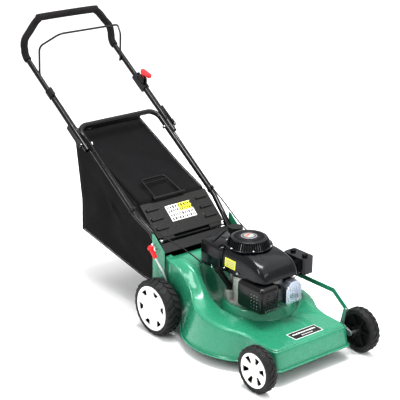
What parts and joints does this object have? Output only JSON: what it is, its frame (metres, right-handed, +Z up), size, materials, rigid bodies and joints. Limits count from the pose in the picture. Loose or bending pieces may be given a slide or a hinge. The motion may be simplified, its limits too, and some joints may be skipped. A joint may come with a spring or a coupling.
{
  "type": "push lawn mower",
  "caption": "Walk-behind petrol rotary mower with a pressed steel deck, crank-adjusted axles, a folding tube handle with a safety bail, and a cloth rear bag under a flap.",
  "frame": {"origin": "on the ground, under the middle of the overall width and length", "axes": "+Y from the mower's nose to the operator's grip, +Z up, +X to the operator's left when pushing towards -Y"},
  "size_m": [0.577, 1.677, 1.108],
  "materials": {
    "green_paint": "glossy green enamel",
    "black_tube": "gloss black powder coat",
    "black_plastic": "moulded black",
    "engine_black": "blue-black moulding",
    "casting": "die cast",
    "steel": "zinc plated",
    "chrome": "bright plated",
    "iron": "machined",
    "tyre": "ribbed rubber",
    "white_plastic": "moulded white",
    "red_plastic": "moulded red",
    "foam": "closed cell foam",
    "cloth": "coarse woven polyester"
  },
  "bodies": {
    "chassis": {"deck": "green_paint", "side_skirt": "black_plastic", "rear_brackets": "green_paint", "front_brackets": "green_paint", "rear_panel": "black_plastic", "flap_rod": "steel", "flap_spring": "steel", "lower_handle": "black_tube", "bolts": "chrome", "cable_clips": "black_plastic", "brake_cable_lower": "black_plastic", "throttle_cable_lower": "black_plastic", "crankcase": "casting", "cylinder_head": "casting", "rocker_cover": "casting", "shroud": "engine_black", "starter_cover": "engine_black", "fuel_tank": "engine_black", "oil_tube": "black_plastic", "muffler": "steel", "muffler_guard": "black_tube", "air_filter": "engine_black", "filter_knobs": "black_plastic", "carburettor": "casting", "spark_plug": "black_plastic"},
    "rear_axle": {"rear_axle": "steel", "lever_grip": "red_plastic"},
    "front_axle": {"front_axle": "steel"},
    "link_bar": {"link_bar": "green_paint"},
    "front_left_wheel": {"front_left_tyre": "tyre", "front_left_hubcap": "white_plastic"},
    "front_right_wheel": {"front_right_tyre": "tyre", "front_right_hubcap": "white_plastic"},
    "rear_left_wheel": {"rear_left_tyre": "tyre", "rear_left_hubcap": "white_plastic"},
    "rear_right_wheel": {"rear_right_tyre": "tyre", "rear_right_hubcap": "white_plastic"},
    "blade": {"crankshaft": "steel", "flywheel": "iron", "blade": "steel", "blade_hub": "steel", "blade_bolt": "steel"},
    "upper_handle": {"upper_handle": "black_tube", "foam_grip": "foam", "cable_bracket": "black_plastic", "throttle_box": "black_plastic", "brake_cable_upper": "black_plastic", "throttle_cable_upper": "black_plastic"},
    "bail": {"bail": "black_tube"},
    "throttle_lever": {"throttle_lever": "red_plastic"},
    "cam_lever_left": {"cam_lever_left": "black_plastic"},
    "cam_lever_right": {"cam_lever_right": "black_plastic"},
    "flap": {"flap": "black_plastic"},
    "bag": {"bag": "cloth", "bag_frame": "steel"},
    "bag_handle": {"bag_handle": "black_plastic"},
    "rope_grip": {"rope_grip": "black_plastic"},
    "starter_pulley": {"starter_pulley": "white_plastic"},
    "fuel_cap": {"fuel_cap": "black_plastic"},
    "dipstick": {"dipstick": "black_plastic"}
  },
  "joints": [
    {"name": "front_left_wheel_spin", "type": "hinge", "parent": "front_axle", "child": "front_left_wheel", "pos_m": [0.2665, -0.7495, 0.089], "axis": [1, 0, 0], "continuous": true},
    {"name": "front_right_wheel_spin", "type": "hinge", "parent": "front_axle", "child": "front_right_wheel", "pos_m": [-0.2665, -0.7495, 0.089], "axis": [1, 0, 0], "continuous": true},
    {"name": "rear_left_wheel_spin", "type": "hinge", "parent": "rear_axle", "child": "rear_left_wheel", "pos_m": [0.2515, -0.1415, 0.114], "axis": [1, 0, 0], "continuous": true},
    {"name": "rear_right_wheel_spin", "type": "hinge", "parent": "rear_axle", "child": "rear_right_wheel", "pos_m": [-0.2515, -0.1415, 0.114], "axis": [1, 0, 0], "continuous": true},
    {"name": "height_adjust", "type": "hinge", "parent": "chassis", "child": "rear_axle", "pos_m": [0, -0.0955, 0.13], "axis": [1, 0, 0], "range_deg": [-20, 20]},
    {"name": "front_axle_turn", "type": "hinge", "parent": "chassis", "child": "front_axle", "pos_m": [0, -0.7055, 0.105], "axis": [1, 0, 0], "range_deg": [-20.5, 20.5]},
    {"name": "link_swing", "type": "hinge", "parent": "rear_axle", "child": "link_bar", "pos_m": [0.215, -0.1105, 0.203], "axis": [1, 0, 0], "range_deg": [-20.5, 20.5]},
    {"name": "blade_spin", "type": "hinge", "parent": "chassis", "child": "blade", "pos_m": [0.005, -0.3855, 0.1], "axis": [0, 0, 1], "continuous": true},
    {"name": "handle_fold", "type": "hinge", "parent": "chassis", "child": "upper_handle", "pos_m": [0, 0.3845, 0.645], "axis": [1, 0, 0], "range_deg": [0, 130]},
    {"name": "cam_lever_left_swing", "type": "hinge", "parent": "chassis", "child": "cam_lever_left", "pos_m": [0.246, 0.3845, 0.645], "axis": [0, -0.5631, 0.8264], "range_deg": [-110, 0]},
    {"name": "cam_lever_right_swing", "type": "hinge", "parent": "chassis", "child": "cam_lever_right", "pos_m": [-0.246, 0.3845, 0.645], "axis": [0, -0.5631, 0.8264], "range_deg": [0, 110]},
    {"name": "bail_squeeze", "type": "hinge", "parent": "upper_handle", "child": "bail", "pos_m": [0, 0.7285, 0.871], "axis": [1, 0, 0], "range_deg": [-38, 0], "stiffness_Nm_per_rad": 0.5, "springref_deg": 28.65},
    {"name": "throttle_turn", "type": "hinge", "parent": "upper_handle", "child": "throttle_lever", "pos_m": [0.2275, 0.58699, 0.81205], "axis": [1, 0, 0], "range_deg": [-25, 25]},
    {"name": "flap_lift", "type": "hinge", "parent": "chassis", "child": "flap", "pos_m": [0, -0.0445, 0.336], "axis": [1, 0, 0], "range_deg": [0, 50], "stiffness_Nm_per_rad": 0.2, "springref_deg": -34.38},
    {"name": "bag_slide", "type": "slide", "parent": "chassis", "child": "bag", "axis": [0, 0.9404, 0.3401], "range_m": [0, 0.45]},
    {"name": "bag_handle_lift", "type": "hinge", "parent": "bag", "child": "bag_handle", "pos_m": [-0.022, 0.1915, 0.512], "axis": [1, 0, 0], "range_deg": [-100, 0]},
    {"name": "rope_pull", "type": "slide", "parent": "chassis", "child": "rope_grip", "axis": [-0.15, 0.7898, 0.5948], "range_m": [0, 0.5], "stiffness_N_per_m": 20, "springref_m": -0.2},
    {"name": "pulley_turn", "type": "hinge", "parent": "chassis", "child": "starter_pulley", "pos_m": [0.005, -0.3855, 0.403], "axis": [0, 0, 1], "range_deg": [0, 900]},
    {"name": "fuel_cap_turn", "type": "hinge", "parent": "chassis", "child": "fuel_cap", "pos_m": [0.046, -0.2595, 0.4], "axis": [0, 0, 1], "range_deg": [0, 90]},
    {"name": "dipstick_pull", "type": "slide", "parent": "chassis", "child": "dipstick", "axis": [-0.4767, 0.2383, 0.8461], "range_m": [0, 0.09]}
  ],
  "couplings": [
    {"joint": "front_axle_turn", "follows": "height_adjust", "ratio": 1},
    {"joint": "link_swing", "follows": "height_adjust", "ratio": -1},
    {"joint": "pulley_turn", "follows": "rope_pull", "rad_per_m": 31.25}
  ]
}
